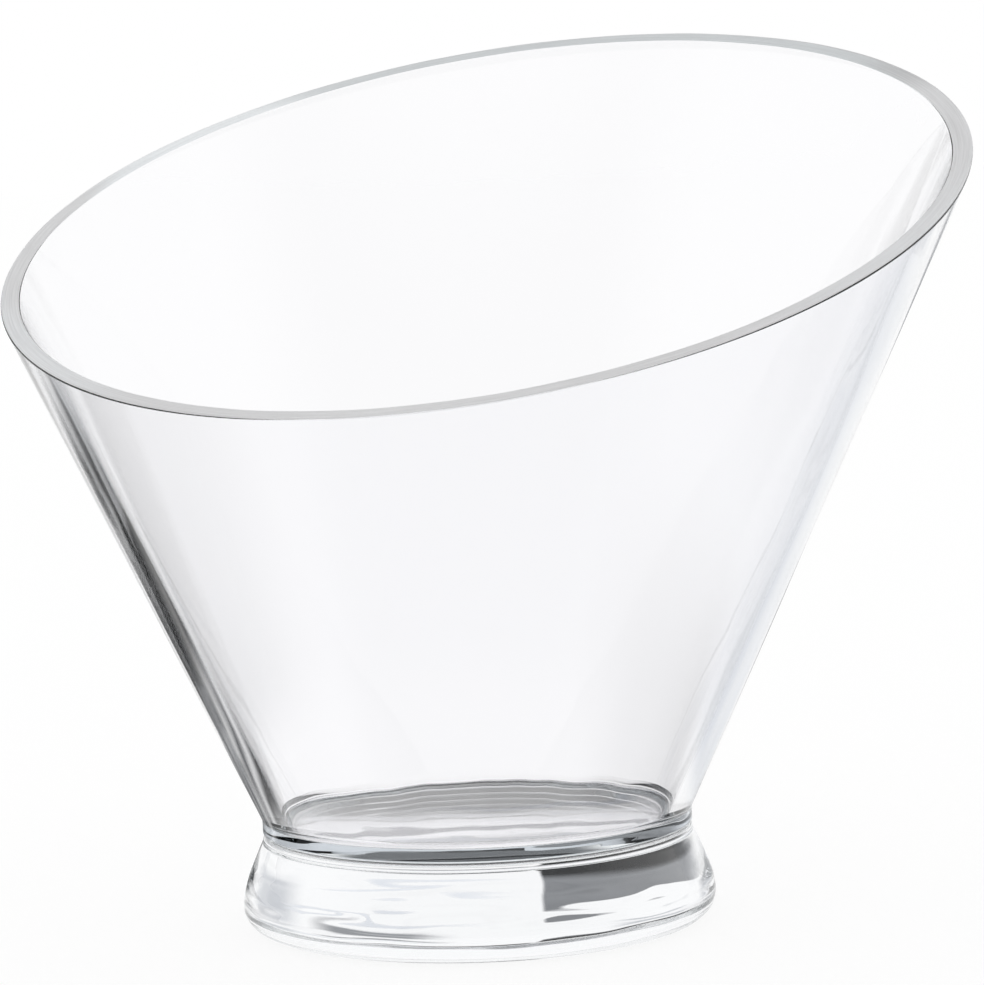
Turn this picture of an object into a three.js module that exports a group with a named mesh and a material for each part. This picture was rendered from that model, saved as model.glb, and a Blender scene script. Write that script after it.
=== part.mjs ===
// A clear acrylic bowl with a slanted rim. A conical bowl moulding stands on a solid flared foot,
// and a thin film of clear cement joins the two at the neck.
// Millimetres and degrees, +Z up. The origin is the centre of the foot's underside, and +Y points
// to the high side of the rim, so the low lip is at the front.
import * as THREE from "three";

// Foot
const FOOT_HEIGHT = 24; // underside to the face that is cemented
const FOOT_RADIUS = 60.6; // at its widest, just above the underside
const FOOT_EDGE_ROUND = 6.5; // round between the underside and the side
const FOOT_BELLY = 0.26; // share of the side's height at which it bends in towards the neck
const COLLAR_HEIGHT = 1.5; // upright collar above the flared side, up to the cemented face
const COLLAR_ROUND = 1.2; // round on the collar's top edge

// Cement film
const CEMENT_THICKNESS = 0.3;
const CEMENT_SETBACK = 0.6; // from the edge of the foot's flat top to the edge of the film

// Bowl
const NECK_RADIUS = 55; // shared by the foot's collar and the bowl's base
const NECK_BAND = 4; // upright band at the base, below the conical wall
const NECK_ROUND = 1; // round between the bowl's underside and its band
const FLOOR_THICKNESS = 4;
const FLOOR_FILLET = 4; // between the floor and the inside of the wall
const WALL_ANGLE = 25; // between the wall and the axis
const WALL_THICKNESS = 4.8; // square to the wall
const BOWL_HEIGHT = 150.5; // bowl's underside to the rim plane, on the axis
const RIM_TILT = 18.8; // between the rim plane and level
const RIM_ROUND = 0.6; // rounds on the rim's two edges

const SEGMENTS = 96; // around the axis
const CURVE_STEPS = 3; // points on each curve of an outline, doubled on its arcs

const QUARTER_TURN = Math.PI / 2;
const WALL_LEAN = THREE.MathUtils.degToRad(WALL_ANGLE);
const WALL_FLARE = Math.tan(WALL_LEAN);
const RIM_RISE = Math.tan(THREE.MathUtils.degToRad(RIM_TILT));

// Turns an outline of radius and height about the Z axis.
function revolve(outline) {
  return new THREE.LatheGeometry(outline.getPoints(CURVE_STEPS), SEGMENTS).rotateX(QUARTER_TURN);
}

function namedMesh(name, geometry, color, roughness) {
  const material = new THREE.MeshStandardMaterial({
    color,
    roughness,
    metalness: 0,
    transparent: true,
    opacity: 0.3,
  });
  const mesh = new THREE.Mesh(geometry, material);
  mesh.name = name;
  return mesh;
}

// The foot is one thick, clear moulding. Its side rises upright from a rounded edge and bends in to
// a short collar of the neck's own radius.
function makeFoot() {
  const sideTop = FOOT_HEIGHT - COLLAR_HEIGHT;
  const bend = THREE.MathUtils.lerp(FOOT_EDGE_ROUND, sideTop, FOOT_BELLY);
  const round = Math.min(COLLAR_ROUND, COLLAR_HEIGHT);
  const outline = new THREE.Path();
  outline.moveTo(0, 0);
  outline.lineTo(FOOT_RADIUS - FOOT_EDGE_ROUND, 0);
  outline.absarc(FOOT_RADIUS - FOOT_EDGE_ROUND, FOOT_EDGE_ROUND, FOOT_EDGE_ROUND, -QUARTER_TURN, 0);
  outline.quadraticCurveTo(FOOT_RADIUS, bend, NECK_RADIUS, sideTop);
  outline.absarc(NECK_RADIUS - round, FOOT_HEIGHT - round, round, 0, QUARTER_TURN);
  outline.lineTo(0, FOOT_HEIGHT);
  return namedMesh("foot", revolve(outline), 0xf3f6f7, 0.06);
}

// The cement covers the flat faces between the two rounds at the neck.
function makeCement() {
  const radius = NECK_RADIUS - Math.max(COLLAR_ROUND, NECK_ROUND) - CEMENT_SETBACK;
  const outline = new THREE.Path();
  outline.moveTo(0, 0);
  outline.lineTo(radius, 0);
  outline.lineTo(radius, CEMENT_THICKNESS);
  outline.lineTo(0, CEMENT_THICKNESS);
  return namedMesh("cement_film", revolve(outline), 0xeef2f2, 0.15);
}

// Radius of the wall's outside, before the rim is slanted.
function wallRadius(height) {
  return NECK_RADIUS + (height - NECK_BAND) * WALL_FLARE;
}

// Slides each point of the wall along its slope, so that the level rim comes to lie in a plane that
// rises towards +Y. The floor and the neck stay as they are.
function slantRim(geometry, wallStart) {
  const position = geometry.getAttribute("position");
  for (let i = 0; i < position.count; i++) {
    const [x, y, z] = [position.getX(i), position.getY(i), position.getZ(i)];
    if (z <= wallStart) continue;
    const radius = Math.hypot(x, y);
    const share = (z - wallStart) / (BOWL_HEIGHT - wallStart);
    const lift = (share * RIM_RISE * y) / (1 - (RIM_RISE * WALL_FLARE * y) / radius);
    const spread = 1 + (WALL_FLARE * lift) / radius;
    position.setXYZ(i, x * spread, y * spread, z + lift);
  }
  geometry.computeVertexNormals();
  return geometry;
}

// The bowl is one moulding: a flat base with an upright band, a conical wall and a flat slanted rim.
function makeBowl() {
  const wallWidth = WALL_THICKNESS / Math.cos(WALL_LEAN);
  const rimRound = Math.min(RIM_ROUND, 0.45 * WALL_THICKNESS);
  const rimCentre = BOWL_HEIGHT - rimRound;
  const rimInset = rimRound / Math.cos(WALL_LEAN);
  const filletCentre = FLOOR_THICKNESS + FLOOR_FILLET;
  const filletRadius = wallRadius(filletCentre) - wallWidth - FLOOR_FILLET / Math.cos(WALL_LEAN);
  const wallStart = Math.max(NECK_BAND, filletCentre - FLOOR_FILLET * Math.sin(WALL_LEAN));
  const outline = new THREE.Path();
  outline.moveTo(0, 0);
  outline.lineTo(NECK_RADIUS - NECK_ROUND, 0);
  outline.absarc(NECK_RADIUS - NECK_ROUND, NECK_ROUND, NECK_ROUND, -QUARTER_TURN, 0);
  outline.lineTo(NECK_RADIUS, NECK_BAND);
  outline.absarc(wallRadius(rimCentre) - rimInset, rimCentre, rimRound, -WALL_LEAN, QUARTER_TURN);
  outline.absarc(
    wallRadius(rimCentre) - wallWidth + rimInset,
    rimCentre,
    rimRound,
    QUARTER_TURN,
    Math.PI - WALL_LEAN,
  );
  outline.absarc(filletRadius, filletCentre, FLOOR_FILLET, -WALL_LEAN, -QUARTER_TURN, true);
  outline.lineTo(0, FLOOR_THICKNESS);
  return namedMesh("bowl", slantRim(revolve(outline), wallStart), 0xf5f8f8, 0.05);
}

const acrylicBowl = new THREE.Group();
const foot = makeFoot();
const cement = makeCement();
cement.position.z = FOOT_HEIGHT;
const bowl = makeBowl();
bowl.position.z = FOOT_HEIGHT + CEMENT_THICKNESS;
acrylicBowl.add(foot, cement, bowl);

export default acrylicBowl;
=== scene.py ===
import math

import bmesh
import bpy
from mathutils import Matrix, Vector, noise


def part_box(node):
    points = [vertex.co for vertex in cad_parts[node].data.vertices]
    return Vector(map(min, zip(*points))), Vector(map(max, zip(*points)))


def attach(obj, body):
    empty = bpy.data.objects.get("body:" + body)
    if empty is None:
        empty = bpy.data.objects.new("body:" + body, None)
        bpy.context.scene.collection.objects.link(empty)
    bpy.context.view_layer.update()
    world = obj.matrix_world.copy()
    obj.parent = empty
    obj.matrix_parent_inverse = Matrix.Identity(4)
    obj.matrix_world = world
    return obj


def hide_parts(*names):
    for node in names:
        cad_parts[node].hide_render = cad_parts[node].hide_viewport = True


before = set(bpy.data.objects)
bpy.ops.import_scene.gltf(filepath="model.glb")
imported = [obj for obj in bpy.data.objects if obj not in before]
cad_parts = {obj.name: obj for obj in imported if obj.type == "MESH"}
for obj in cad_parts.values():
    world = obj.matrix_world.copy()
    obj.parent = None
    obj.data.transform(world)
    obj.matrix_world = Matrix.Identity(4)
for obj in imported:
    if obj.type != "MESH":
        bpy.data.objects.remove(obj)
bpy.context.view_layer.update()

# Foot: one thick, solid moulding of clear acrylic with a flared side and a rounded lower edge.
# Such a thick shot shrinks unevenly as it cools, so its side is drawn into faint level ripples.
# Its flat top is cemented to the bowl.
MM = 0.001
foot_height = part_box("foot")[1].z
foot_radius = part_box("foot")[1].x
foot_edge_round = 6.5 * MM
foot_belly = 0.26
collar_height = 1.5 * MM
collar_round = 1.2 * MM
neck_radius = 55.0 * MM
foot_around = 256
foot_flat_steps = 24
foot_edge_steps = 14
foot_side_steps = 40
collar_steps = 6
collar_round_steps = 12
foot_ripple = 0.20 * MM
foot_ripple_long = 38 * MM
foot_ripple_tall = 5.5 * MM
foot_ripple_from = 0.5 * MM
foot_ripple_full = 14 * MM
underside_below = 1 * MM
underside_ripple = 0.025 * MM
underside_ripple_long = 24 * MM
ripple_roughness = 1.0
ripple_finer = 2.2
ripple_octaves = 2
acrylic_tint = (0.991, 0.988, 0.997)
acrylic_absorbs = (0.86, 0.91, 0.92)
acrylic_bends_light = 1.49
wiped_scale = 60.0
wiped_detail = 5.0
wiped_from = 0.5
wiped_full = 0.8
wave_scale = 90.0
wave_detail = 1.0
foot_haze = 0.012
foot_wave = 0.01 * MM
foot_density = 2.0
light_bounces = 18


def straight(start, end, steps):
    """Points from start up to end, closer together near both ends, without the end itself."""
    shares = [(1 - math.cos(math.pi * i / steps)) / 2 for i in range(steps)]
    return [tuple(a + (b - a) * t for a, b in zip(start, end)) for t in shares]


def arc(centre, radius, start, end, steps):
    """Points on an arc from start to end in degrees, without the last one."""
    angles = [math.radians(start + (end - start) * i / steps) for i in range(steps)]
    return [(centre[0] + radius * math.cos(a), centre[1] + radius * math.sin(a)) for a in angles]


def bow(start, control, end, steps):
    """Points on a quadratic curve, without its end."""
    points = []
    for i in range(steps):
        t = i / steps
        points.append(tuple(
            (1 - t) ** 2 * a + 2 * t * (1 - t) * c + t * t * b
            for a, c, b in zip(start, control, end)
        ))
    return points


def turn(name, outline, around, place=lambda point: point):
    """Turns an outline of (radius, height) from axis to axis into a closed mesh object.

    Its UV map runs once round the axis in u and along the outline, in metres, in v.
    """
    bm = bmesh.new()
    unwrap = bm.loops.layers.uv.new("UVMap")
    rings = []
    along = [0.0]
    for here, after in zip(outline, outline[1:]):
        along.append(along[-1] + math.dist(here, after))
    for radius, height in outline:
        angles = [2 * math.pi * i / around for i in range(around if radius else 1)]
        rings.append([
            bm.verts.new(place(Vector((radius * math.cos(a), radius * math.sin(a), height))))
            for a in angles
        ])
    for k, (lower, upper) in enumerate(zip(rings, rings[1:])):
        for i in range(around):
            corners = []
            for ring, v in ((lower, along[k]), (upper, along[k + 1])):
                near = (ring[i % len(ring)], i / around, v)
                far = (ring[(i + 1) % len(ring)], (i + 1) / around, v)
                both = [near] if len(ring) == 1 else [near, far]
                corners += both if ring is lower else both[::-1]
            face = bm.faces.new([corner[0] for corner in corners])
            face.smooth = True
            for loop, (_, u, v) in zip(face.loops, corners):
                loop[unwrap].uv = (u, v)
    bm.normal_update()
    mesh = bpy.data.meshes.new(name)
    bm.to_mesh(mesh)
    bm.free()
    piece = bpy.data.objects.new(name, mesh)
    bpy.context.scene.collection.objects.link(piece)
    return piece


def ease(value, low, high):
    """Rises smoothly from 0 at low to 1 at high."""
    share = min(1.0, max(0.0, (value - low) / (high - low)))
    return share * share * (3 - 2 * share)


def ripple(piece, depth, grain):
    """Moves each point along its normal by a soft noise, as a moulded face is never quite true."""
    moves = [
        v.normal * depth(v.co)
        * noise.fractal(grain(v.co), ripple_roughness, ripple_finer, ripple_octaves)
        for v in piece.data.vertices
    ]
    for vertex, move in zip(piece.data.vertices, moves):
        vertex.co += move
    piece.data.update()


def clear_acrylic(name, haze, wave, density):
    """Clear acrylic, hazed in soft patches where it was wiped, with a slightly wavy face."""
    material = bpy.data.materials.new(name)
    material.use_nodes = True
    nodes = material.node_tree.nodes
    links = material.node_tree.links
    shader = nodes["Principled BSDF"]
    shader.inputs["Base Color"].default_value = (*acrylic_tint, 1)
    shader.inputs["Transmission Weight"].default_value = 1.0
    shader.inputs["IOR"].default_value = acrylic_bends_light
    place = nodes.new("ShaderNodeTexCoord")
    wiped = nodes.new("ShaderNodeTexNoise")
    wiped.inputs["Scale"].default_value = wiped_scale
    wiped.inputs["Detail"].default_value = wiped_detail
    links.new(place.outputs["Object"], wiped.inputs["Vector"])
    gloss = nodes.new("ShaderNodeMapRange")
    gloss.inputs["From Min"].default_value = wiped_from
    gloss.inputs["From Max"].default_value = wiped_full
    gloss.inputs["To Max"].default_value = haze
    links.new(wiped.outputs["Fac"], gloss.inputs["Value"])
    links.new(gloss.outputs["Result"], shader.inputs["Roughness"])
    waves = nodes.new("ShaderNodeTexNoise")
    waves.inputs["Scale"].default_value = wave_scale
    waves.inputs["Detail"].default_value = wave_detail
    links.new(place.outputs["Object"], waves.inputs["Vector"])
    bump = nodes.new("ShaderNodeBump")
    bump.inputs["Distance"].default_value = wave
    links.new(waves.outputs["Fac"], bump.inputs["Height"])
    links.new(bump.outputs["Normal"], shader.inputs["Normal"])
    volume = nodes.new("ShaderNodeVolumeAbsorption")
    volume.inputs["Color"].default_value = (*acrylic_absorbs, 1)
    volume.inputs["Density"].default_value = density
    links.new(volume.outputs["Volume"], nodes["Material Output"].inputs["Volume"])
    return material


def foot_ripple_depth(point):
    """The side ripples most. The flat top stays true for the cement, the underside nearly so."""
    if point.z < underside_below:
        return underside_ripple
    return foot_ripple * ease(foot_height - point.z, foot_ripple_from, foot_ripple_full)


def foot_grain(point):
    """Long level streaks on the side, and round patches on the underside."""
    if point.z < underside_below:
        return point / underside_ripple_long
    return Vector((
        point.x / foot_ripple_long,
        point.y / foot_ripple_long,
        point.z / foot_ripple_tall,
    ))


bpy.context.scene.cycles.max_bounces = light_bounces
bpy.context.scene.cycles.glossy_bounces = light_bounces
bpy.context.scene.cycles.transmission_bounces = light_bounces
side_top = foot_height - collar_height
bend = foot_edge_round + (side_top - foot_edge_round) * foot_belly
foot_edge = (foot_radius - foot_edge_round, foot_edge_round)
collar_edge = (neck_radius - collar_round, foot_height - collar_round)
foot = turn("foot_moulding", [
    *straight((0, 0), (foot_edge[0], 0), foot_flat_steps),
    *arc(foot_edge, foot_edge_round, -90, 0, foot_edge_steps),
    *bow(
        (foot_radius, foot_edge_round),
        (foot_radius, bend),
        (neck_radius, side_top),
        foot_side_steps,
    ),
    *straight((neck_radius, side_top), (neck_radius, collar_edge[1]), collar_steps),
    *arc(collar_edge, collar_round, 0, 90, collar_round_steps),
    *straight((collar_edge[0], foot_height), (0, foot_height), foot_flat_steps),
    (0, foot_height),
], foot_around)
ripple(foot, foot_ripple_depth, foot_grain)
foot.data.materials.append(clear_acrylic("foot_acrylic", foot_haze, foot_wave, foot_density))
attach(foot, "root")
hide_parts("foot")

# Cement film: the thin layer of clear solvent cement that is run into the joint at the neck.
# It sets as clear as the acrylic. A hair's gap is left to each moulding, so the bowl's floor still
# mirrors the studio from below.
cement_gap = 0.02 * MM
cement_flat_steps = 16
cement_edge_steps = 4
cement_haze = 0.08
cement_wave = 0.004 * MM
cement_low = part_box("cement_film")[0].z + cement_gap
cement_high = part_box("cement_film")[1].z - cement_gap
cement_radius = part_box("cement_film")[1].x
cement = turn("cement_layer", [
    *straight((0, cement_low), (cement_radius, cement_low), cement_flat_steps),
    *straight((cement_radius, cement_low), (cement_radius, cement_high), cement_edge_steps),
    *straight((cement_radius, cement_high), (0, cement_high), cement_flat_steps),
    (0, cement_high),
], foot_around)
cement.data.materials.append(clear_acrylic("clear_cement", cement_haze, cement_wave, foot_density))
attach(cement, "root")
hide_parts("cement_film")

# Bowl: one moulding of clear acrylic, with a flat base, a short upright band, a conical wall and
# a flat rim on a slant. Its floor is very slightly dished by shrinkage, and the sawn rim is
# polished to a satin, so it stands out as a pale grey line, with a painted shade greying its high
# side. It stands on the cemented foot.
bowl_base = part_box("bowl")[0].z
bowl_around = 256
base_steps = 24
neck_round_steps = 10
neck_band_steps = 8
wall_steps = 56
rim_outer_steps = 6
rim_flat_steps = 8
rim_inner_steps = 4
fillet_steps = 14
floor_steps = 96
neck_band = 4.0 * MM
neck_round = 1.0 * MM
floor_thickness = 4.0 * MM
floor_fillet = 4.0 * MM
floor_dish = 1.0 * MM
wall_angle = 25.0
wall_thickness = 4.8 * MM
bowl_height = 150.5 * MM
rim_tilt = 18.8
rim_round = 0.6 * MM
wall_ripple = 0.08 * MM
wall_ripple_turns = 6.0
wall_ripple_tall = 110 * MM
wall_ripple_from = 8 * MM
wall_ripple_full = 30 * MM
floor_ripple = 0.06 * MM
floor_ripple_long = 34 * MM
floor_ripple_from = 2.5 * MM
floor_ripple_full = 3.2 * MM
floor_ripple_reach = 2 * MM
bowl_haze = 0.03
bowl_wave = 0.01 * MM
bowl_density = 7.0
rim_colour = (0.97, 0.965, 0.975)
rim_clear = 0.35
rim_satin_from = 30.0
rim_satin_to = 120.0
# Painted shade: the rim's colour is scaled down to this level between these two heights of Y,
# greying its high side as if it were turned from the light.
rim_painted_shade_level = 0.74
rim_painted_shade_from = 92 * MM
rim_painted_shade_full = 112 * MM
rim_streak_shape = (30, 2600, 1)
rim_streak_detail = 3.0
rim_streak_level = 0.8
rim_streak_from = 0.3
rim_streak_full = 0.7
rim_roughness = (0.3, 0.5)

wall_flare = math.tan(math.radians(wall_angle))
wall_cos = math.cos(math.radians(wall_angle))
rim_rise = math.tan(math.radians(rim_tilt))
wall_width = wall_thickness / wall_cos
fillet_height = floor_thickness + floor_fillet
wall_start = fillet_height - floor_fillet * math.sin(math.radians(wall_angle))


def wall_radius(height):
    """Radius of the wall's outside above the bowl's base, before the rim is slanted."""
    return neck_radius + (height - neck_band) * wall_flare


def slanted(point):
    """Slides a point of the wall along its slope, so that the rim rises towards +Y."""
    radius = math.hypot(point.x, point.y)
    if point.z <= wall_start:
        return Vector((point.x, point.y, point.z + bowl_base))
    share = (point.z - wall_start) / (bowl_height - wall_start)
    lift = share * rim_rise * point.y / (1 - rim_rise * wall_flare * point.y / radius)
    spread = 1 + wall_flare * lift / radius
    return Vector((point.x * spread, point.y * spread, point.z + lift + bowl_base))


def bowl_ripple_depth(point):
    """The floor's top is wavy and the wall a little, and the base stays true for the cement."""
    height = point.z - bowl_base
    if height < floor_thickness + floor_ripple_reach:
        return floor_ripple * ease(height, floor_ripple_from, floor_ripple_full)
    return wall_ripple * ease(height, wall_ripple_from, wall_ripple_full)


def bowl_grain(point):
    """Round patches on the floor, and long streaks up the wall."""
    if point.z - bowl_base < floor_thickness + floor_ripple_reach:
        return point / floor_ripple_long
    radius = math.hypot(point.x, point.y) / wall_ripple_turns
    return Vector((point.x / radius, point.y / radius, point.z / wall_ripple_tall))


def satin_rim(name):
    """Acrylic that was sawn and buffed, with fine streaks along it, and a painted shade that greys
    its high side.
    """
    material = clear_acrylic(name, bowl_haze, bowl_wave, bowl_density)
    nodes = material.node_tree.nodes
    links = material.node_tree.links
    shader = nodes["Principled BSDF"]
    shader.inputs["Transmission Weight"].default_value = rim_clear
    unwrap = nodes.new("ShaderNodeUVMap")
    drawn = nodes.new("ShaderNodeMapping")
    drawn.inputs["Scale"].default_value = rim_streak_shape
    links.new(unwrap.outputs["UV"], drawn.inputs["Vector"])
    streaks = nodes.new("ShaderNodeTexNoise")
    streaks.inputs["Scale"].default_value = 1.0
    streaks.inputs["Detail"].default_value = rim_streak_detail
    links.new(drawn.outputs["Vector"], streaks.inputs["Vector"])
    shade = nodes.new("ShaderNodeValToRGB")
    shade.color_ramp.elements[0].position = rim_streak_from
    shade.color_ramp.elements[0].color = (*(rim_streak_level * c for c in rim_colour), 1)
    shade.color_ramp.elements[1].position = rim_streak_full
    shade.color_ramp.elements[1].color = (*rim_colour, 1)
    links.new(streaks.outputs["Fac"], shade.inputs["Fac"])
    # Painted shade: the streaked rim colour is scaled down towards the rim's high side (+Y).
    place = nodes.new("ShaderNodeTexCoord")
    apart = nodes.new("ShaderNodeSeparateXYZ")
    links.new(place.outputs["Object"], apart.inputs["Vector"])
    back = nodes.new("ShaderNodeMapRange")
    back.interpolation_type = "SMOOTHSTEP"
    back.inputs["From Min"].default_value = rim_painted_shade_from
    back.inputs["From Max"].default_value = rim_painted_shade_full
    back.inputs["To Min"].default_value = 1.0
    back.inputs["To Max"].default_value = rim_painted_shade_level
    links.new(apart.outputs["Y"], back.inputs["Value"])
    painted_shade_colour = nodes.new("ShaderNodeVectorMath")
    painted_shade_colour.operation = "SCALE"
    links.new(shade.outputs["Color"], painted_shade_colour.inputs[0])
    links.new(back.outputs["Result"], painted_shade_colour.inputs["Scale"])
    links.new(painted_shade_colour.outputs["Vector"], shader.inputs["Base Color"])
    gloss = nodes.new("ShaderNodeMapRange")
    gloss.inputs["To Min"].default_value = rim_roughness[0]
    gloss.inputs["To Max"].default_value = rim_roughness[1]
    links.new(streaks.outputs["Fac"], gloss.inputs["Value"])
    links.new(gloss.outputs["Result"], shader.inputs["Roughness"])
    return material


rim_height = bowl_height - rim_round
rim_inset = rim_round / wall_cos
rim_outer = (wall_radius(rim_height) - rim_inset, rim_height)
rim_inner = (wall_radius(rim_height) - wall_width + rim_inset, rim_height)
fillet = (wall_radius(fillet_height) - wall_width - floor_fillet / wall_cos, fillet_height)
outside_top = arc(rim_outer, rim_round, -wall_angle, 90, 1)[0]
inside_top = arc(rim_inner, rim_round, 180 - wall_angle, 90, 1)[0]
inside_foot = arc(fillet, floor_fillet, -wall_angle, -90, 1)[0]
floor_low = floor_thickness - floor_dish
bowl_outside = [
    *straight((0, 0), (neck_radius - neck_round, 0), base_steps),
    *arc((neck_radius - neck_round, neck_round), neck_round, -90, 0, neck_round_steps),
    *straight((neck_radius, neck_round), (neck_radius, neck_band), neck_band_steps),
    *straight((neck_radius, neck_band), outside_top, wall_steps),
    *arc(rim_outer, rim_round, -wall_angle, rim_satin_from, rim_outer_steps),
]
bowl_rim = [
    *arc(rim_outer, rim_round, rim_satin_from, 90, rim_outer_steps),
    *straight((rim_outer[0], bowl_height), (rim_inner[0], bowl_height), rim_flat_steps),
    *arc(rim_inner, rim_round, 90, rim_satin_to, rim_inner_steps),
]
bowl_inside = [
    *arc(rim_inner, rim_round, rim_satin_to, 180 - wall_angle, rim_inner_steps),
    *straight(inside_top, inside_foot, wall_steps),
    *arc(fillet, floor_fillet, -wall_angle, -90, fillet_steps),
    *bow((fillet[0], floor_thickness), (fillet[0] / 2, floor_low), (0, floor_low), floor_steps),
    (0, floor_low),
]
bowl = turn("bowl_moulding", bowl_outside + bowl_rim + bowl_inside, bowl_around, slanted)
ripple(bowl, bowl_ripple_depth, bowl_grain)
bowl.data.materials.append(clear_acrylic("bowl_acrylic", bowl_haze, bowl_wave, bowl_density))
bowl.data.materials.append(satin_rim("bowl_rim"))
rim_first = len(bowl_outside) * bowl_around
for face in bowl.data.polygons[rim_first:rim_first + len(bowl_rim) * bowl_around]:
    face.material_index = 1
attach(bowl, "root")
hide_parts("bowl")

# Camera: a long lens about a metre away, level with the high side of the rim and turned to the
# right of the low lip. It looks down a little, and is rolled by a hair.
picture_height = 985
focal_pixels = 4348
sensor_width = 36.0
camera_turn = math.radians(22.3)
camera_distance = 1.100
camera_height = 0.224
camera_yaw = math.radians(0.34)
camera_pitch = math.radians(5.93)
camera_roll = math.radians(-1.93)

ahead = Vector((
    math.sin(camera_yaw) * math.cos(camera_pitch),
    math.cos(camera_yaw) * math.cos(camera_pitch),
    -math.sin(camera_pitch),
))
level = Vector((math.cos(camera_yaw), -math.sin(camera_yaw), 0))
upright = level.cross(ahead)
right = math.cos(camera_roll) * level + math.sin(camera_roll) * upright
up = -math.sin(camera_roll) * level + math.cos(camera_roll) * upright
axes = Matrix((right, up, -ahead)).transposed().to_4x4()
lens = bpy.data.cameras.new("camera")
lens.sensor_width = sensor_width
lens.lens = sensor_width * focal_pixels / picture_height
camera = bpy.data.objects.new("camera", lens)
camera.matrix_world = (
    Matrix.Rotation(camera_turn, 4, "Z")
    @ Matrix.Translation((0, -camera_distance, camera_height))
    @ axes
)
bpy.context.scene.collection.objects.link(camera)
bpy.context.scene.camera = camera
bpy.context.scene.view_settings.view_transform = "Standard"

# Sweep: a plain white floor that runs on out of sight, under an even white sky of soft light.
# It is mostly its own white, so that it meets the sky without a line, and the rest takes shade.
floor_drop = 0.3 * MM
floor_size = 6.0
floor_around = 96
floor_colour = (0.97, 0.97, 0.97)
floor_own_white = 0.91
sky_colour = (1, 1, 1)
bm = bmesh.new()
bmesh.ops.create_circle(bm, cap_ends=True, radius=floor_size, segments=floor_around)
floor_mesh = bpy.data.meshes.new("floor")
bm.to_mesh(floor_mesh)
bm.free()
floor = bpy.data.objects.new("floor", floor_mesh)
floor.location.z = -floor_drop
bpy.context.scene.collection.objects.link(floor)
sweep = bpy.data.materials.new("white_sweep")
sweep.use_nodes = True
sweep_nodes = sweep.node_tree.nodes
sweep_links = sweep.node_tree.links
paper = sweep_nodes["Principled BSDF"]
paper.inputs["Base Color"].default_value = (*floor_colour, 1)
paper.inputs["Roughness"].default_value = 1.0
paper.inputs["Specular IOR Level"].default_value = 0.0
rays = sweep_nodes.new("ShaderNodeLightPath")
either = sweep_nodes.new("ShaderNodeMath")
any_seen = sweep_nodes.new("ShaderNodeMath")
any_seen.use_clamp = True
share = sweep_nodes.new("ShaderNodeMath")
share.operation = "MULTIPLY"
share.inputs[1].default_value = floor_own_white
own_white = sweep_nodes.new("ShaderNodeEmission")
blend = sweep_nodes.new("ShaderNodeMixShader")
sweep_links.new(rays.outputs["Is Camera Ray"], either.inputs[0])
sweep_links.new(rays.outputs["Is Glossy Ray"], either.inputs[1])
sweep_links.new(either.outputs["Value"], any_seen.inputs[0])
sweep_links.new(rays.outputs["Is Transmission Ray"], any_seen.inputs[1])
sweep_links.new(any_seen.outputs["Value"], share.inputs[0])
sweep_links.new(share.outputs["Value"], blend.inputs["Fac"])
sweep_links.new(paper.outputs["BSDF"], blend.inputs[1])
sweep_links.new(own_white.outputs["Emission"], blend.inputs[2])
sweep_links.new(blend.outputs["Shader"], sweep_nodes["Material Output"].inputs["Surface"])
floor.data.materials.append(sweep)

world = bpy.data.worlds.new("studio")
bpy.context.scene.world = world
world.use_nodes = True
sky = world.node_tree.nodes["Background"]
sky.inputs["Color"].default_value = (*sky_colour, 1)
sky.inputs["Strength"].default_value = 1.0

# Flags: the dark cards that are stood round clear ware, out of the picture, to draw its edges.
# The cards laid close round the foot are painted shadow of the foot on the floor instead.
# Each shows only in reflections, and fades out along its borders. Its bearing is turned from
# straight behind the bowl, as the camera sees it, and grows to the right.
flag_distance = 0.80
strip_distance = 0.79
left_top_distance = 0.78
ring_distance = 0.77
ring_band_distance = 0.76
front_inner_distance = 0.81
overhead_distance = 0.82
layer_step = 0.08
flag_colour = (0.955, 0.985, 1.035)
flag_steps = 24
streak_from = 0.4
streak_full = 0.55
streak_least = 0.65


def bearing(degrees):
    """The level direction that lies at this bearing."""
    turned = math.radians(degrees) - camera_turn
    return Vector((math.sin(turned), math.cos(turned), 0))


def stood(left, right, low, high, distance=flag_distance):
    """A card on a dome round the bowl, between two bearings and two heights in degrees."""
    def place(u, v):
        height = math.radians(low + (high - low) * v)
        out = bearing(left + (right - left) * u)
        return distance * (math.cos(height) * out + math.sin(height) * Vector((0, 0, 1)))
    return place


def laid(left, right, near, far, layer):
    """A card on the floor, between two bearings and two distances, in one of nine layers."""
    def place(u, v):
        out = bearing(left + (right - left) * u)
        sunk = (1 - layer_step * layer) * floor_drop
        return (near + (far - near) * v) * out - Vector((0, 0, sunk))
    return place


def product(tree, first, second):
    """The product of two outputs in a material's nodes."""
    both = tree.nodes.new("ShaderNodeMath")
    both.operation = "MULTIPLY"
    tree.links.new(first, both.inputs[0])
    tree.links.new(second, both.inputs[1])
    return both.outputs["Value"]


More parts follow.
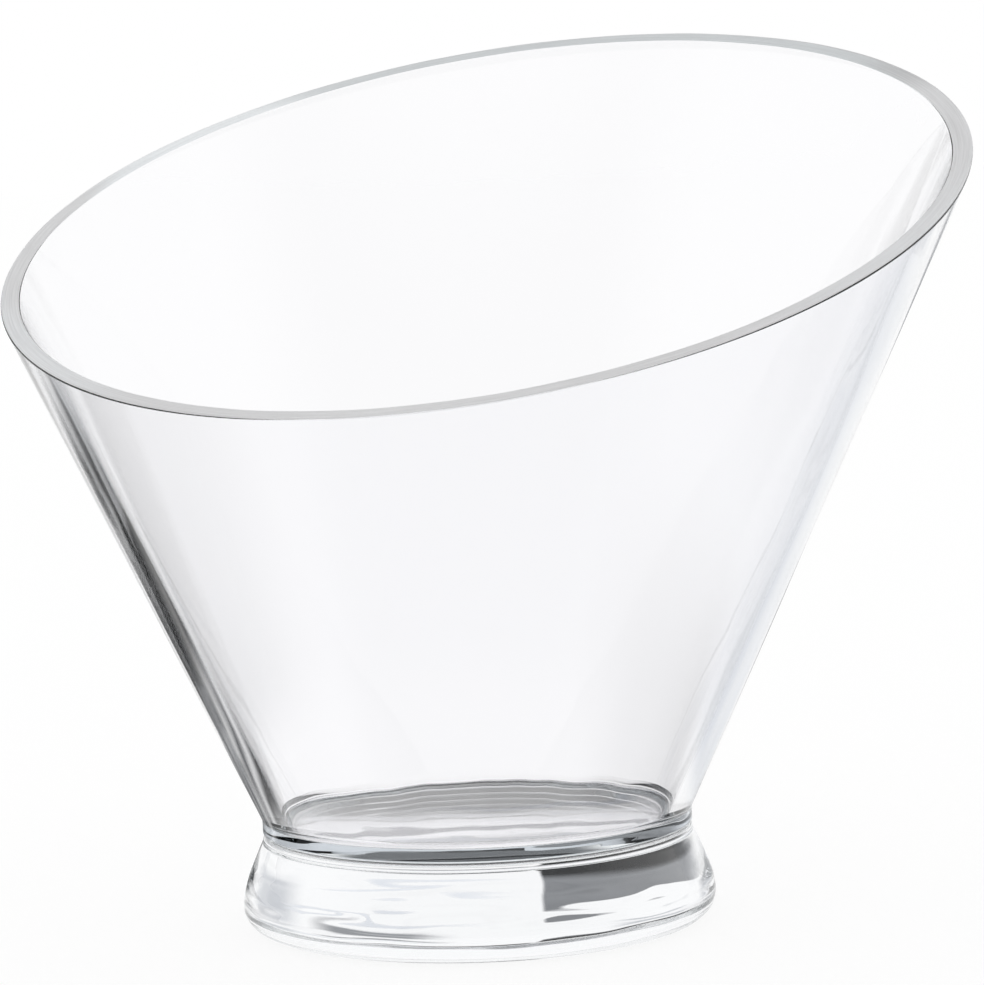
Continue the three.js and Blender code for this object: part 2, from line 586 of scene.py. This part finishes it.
def flag(name, place, levels, fades, turned=1, through=0, until=None, streaks=None):
    """A dark card, seen by rays that have been turned back and let through often enough.

    Its grey level runs from its near or low border to its far or high one, and its fades are
    shares of its width and depth, at its left, right, near and far borders. Rays that have been
    let through until times or more pass it by. Streaks, if any, are how many lie across it and
    along it, and clear it in places.
    """
    bm = bmesh.new()
    unwrap = bm.loops.layers.uv.new("UVMap")
    shares = [i / flag_steps for i in range(flag_steps + 1)]
    grid = [[bm.verts.new(place(u, v)) for v in shares] for u in shares]
    for i in range(flag_steps):
        for j in range(flag_steps):
            around = ((i, j), (i + 1, j), (i + 1, j + 1), (i, j + 1))
            face = bm.faces.new([grid[a][b] for a, b in around])
            for loop, (a, b) in zip(face.loops, around):
                loop[unwrap].uv = (shares[a], shares[b])
    mesh = bpy.data.meshes.new(name)
    bm.to_mesh(mesh)
    bm.free()
    card = bpy.data.objects.new(name, mesh)
    bpy.context.scene.collection.objects.link(card)
    material = bpy.data.materials.new(name)
    material.use_nodes = True
    tree = material.node_tree
    nodes = tree.nodes
    links = tree.links
    nodes.remove(nodes["Principled BSDF"])
    unwrapped = nodes.new("ShaderNodeUVMap")
    apart = nodes.new("ShaderNodeSeparateXYZ")
    links.new(unwrapped.outputs["UV"], apart.inputs["Vector"])
    rays = nodes.new("ShaderNodeLightPath")
    often = nodes.new("ShaderNodeMath")
    often.operation = "GREATER_THAN"
    often.inputs[1].default_value = turned - 0.5
    links.new(rays.outputs["Glossy Depth"], often.inputs[0])
    cover = often.outputs["Value"]
    for side, count in (("GREATER_THAN", through), ("LESS_THAN", until)):
        if not count:
            continue
        counted = nodes.new("ShaderNodeMath")
        counted.operation = side
        counted.inputs[1].default_value = count - 0.5
        links.new(rays.outputs["Transmission Depth"], counted.inputs[0])
        cover = product(tree, cover, counted.outputs["Value"])
    for axis, border, inward, fade in zip("XXYY", (0, 1, 0, 1), (1, -1, 1, -1), fades):
        if fade == 0:
            continue
        soft = nodes.new("ShaderNodeMapRange")
        soft.interpolation_type = "SMOOTHSTEP"
        soft.inputs["From Min"].default_value = border
        soft.inputs["From Max"].default_value = border + inward * fade
        links.new(apart.outputs[axis], soft.inputs["Value"])
        cover = product(tree, cover, soft.outputs["Result"])
    if streaks:
        drawn = nodes.new("ShaderNodeMapping")
        drawn.inputs["Scale"].default_value = (*streaks, 1)
        links.new(unwrapped.outputs["UV"], drawn.inputs["Vector"])
        patches = nodes.new("ShaderNodeTexNoise")
        patches.inputs["Scale"].default_value = 1.0
        patches.inputs["Detail"].default_value = 1.0
        links.new(drawn.outputs["Vector"], patches.inputs["Vector"])
        dense = nodes.new("ShaderNodeMapRange")
        dense.interpolation_type = "SMOOTHSTEP"
        dense.inputs["From Min"].default_value = streak_from
        dense.inputs["From Max"].default_value = streak_full
        dense.inputs["To Min"].default_value = streak_least
        links.new(patches.outputs["Fac"], dense.inputs["Value"])
        cover = product(tree, cover, dense.outputs["Result"])
    grey = nodes.new("ShaderNodeMapRange")
    grey.inputs["To Min"].default_value = levels[0]
    grey.inputs["To Max"].default_value = levels[1]
    links.new(apart.outputs["Y"], grey.inputs["Value"])
    clear = nodes.new("ShaderNodeBsdfTransparent")
    dark = nodes.new("ShaderNodeEmission")
    dark.inputs["Color"].default_value = (*flag_colour, 1)
    links.new(grey.outputs["Result"], dark.inputs["Strength"])
    mix = nodes.new("ShaderNodeMixShader")
    links.new(cover, mix.inputs["Fac"])
    links.new(clear.outputs["BSDF"], mix.inputs[1])
    links.new(dark.outputs["Emission"], mix.inputs[2])
    links.new(mix.outputs["Shader"], nodes["Material Output"].inputs["Surface"])
    card.data.materials.append(material)
    card.visible_camera = False
    card.visible_diffuse = False
    card.visible_shadow = False


flag("left_flag", stood(-64, -8, 10.0, 16), (0.22, 0.33), (0.35, 0.015, 0.06, 0), until=4)
flag("left_flag_top", stood(-62, -8, 12.4, 27, left_top_distance), (0.01, 0.01),
     (0.3, 0.015, 0.17, 0.2), until=4)
flag("right_flag", stood(30, 62, 3, 16), (0.62, 0.62), (0.35, 0.3, 0.3, 0.3))
flag("left_flag_low", stood(-80, -52, 2, 9.5), (0.45, 0.45), (0.2, 0.3, 0.2, 0.1))
flag("rear_flag_top", stood(-8, 26, 21, 44), (0.04, 0.04), (0, 0.6, 0.08, 0.3))
flag("ring_flag", stood(-45, 45, 10.3, 11.5, ring_distance), (0.0, 0.0),
     (0.3, 0.15, 0.3, 0.3), through=4)
flag("ring_band_flag", stood(-40, 55, 6.8, 9.7, ring_band_distance), (0.8, 0.8),
     (0.2, 0.2, 0.2, 0.1), through=4)
# Painted shadow: this card darkens the floor close round the foot, at its left and behind it, where
# the foot's shadow falls, seen in reflections only.
flag("floor_painted_shadow_near", laid(-57, -10, 0.066, 0.25, 8), (0.10, 0.15), (0.15, 0.15, 0.03, 0.15),
     streaks=(5, 2))
flag("floor_flag_middle", laid(-58, -26, 0.20, 0.40, 7), (0.01, 0.01), (0.25, 0.15, 0.2, 0.25))
flag("floor_flag_line", laid(-41, -27, 0.34, 0.68, 6), (0.0, 0.0), (0.2, 0.25, 0.1, 0.4))
flag("floor_flag_far", laid(-60, -36, 0.34, 0.95, 5), (0.12, 0.85), (0.3, 0.2, 0.1, 0.3),
     streaks=(3, 2))
flag("floor_flag_pale", laid(-83, -56.5, 0.07, 0.9, 4), (0.02, 0.02), (0.06, 0.28, 0.05, 0.15))
flag("floor_flag_side", laid(-140, -81, 0.105, 0.9, 3), (0.3, 0.3), (0.6, 0.02, 0.05, 0.15))
flag("front_floor_flag", laid(18, 250, 0.105, 0.9, 1), (0.76, 0.80), (0.15, 0.2, 0.05, 0.15))
# Painted shadow: these two cards darken the floor close round the foot, to its right and behind it,
# where the foot's shadow falls, seen in reflections only.
flag("floor_painted_shadow_right", laid(74, 150, 0.070, 0.22, 2), (0.1, 0.1), (0.15, 0.4, 0.1, 0.65))
flag("floor_painted_shadow_rear", laid(-20, 24, 0.10, 0.6, 9), (0.15, 0.15), (0.2, 0.2, 0.05, 0.2))
flag("overhead_flag", stood(-180, -8, 44, 90, overhead_distance), (0.2, 0.2),
     (0.1, 0.08, 0.1, 0), turned=2)
flag("front_flag", stood(90, 270, -2, 72), (0.33, 0.33), (0.25, 0.25, 0.02, 0.2), until=1)
flag("front_flag_inner", stood(90, 270, -2, 72, front_inner_distance), (0.33, 0.33),
     (0.25, 0.25, 0.02, 0.2), through=4)
for number, (left, right, low, high, grey_level) in enumerate((
    (2, 31, 3.6, 7.8, 0.30),
    (-46, -18, 3.4, 6.8, 0.55),
    (-4, 48, 8.2, 9.0, 0.80),
    (-6, 30, 12.6, 13.6, 0.86),
)):
    strip = stood(left, right, low, high, strip_distance)
    flag(f"strip_flag_{number + 1}", strip, (grey_level, grey_level), (0.3, 0.3, 0.4, 0.4))

# Dim room: two more cards, the whole dome behind the bowl, for light that is turned back three
# times or more. They show such light a dim card in place of the white sky, a painted shade in its
# reflections, and so draw the dark lines at the neck.
for turns, room_distance, room_level in ((3, 0.95, 0.75), (4, 0.90, 0.1)):
    room = stood(-95, 95, 0, 90, room_distance)
    flag(f"painted_shade_room_{turns}", room, (room_level, room_level), (0, 0, 0, 0), turned=turns)
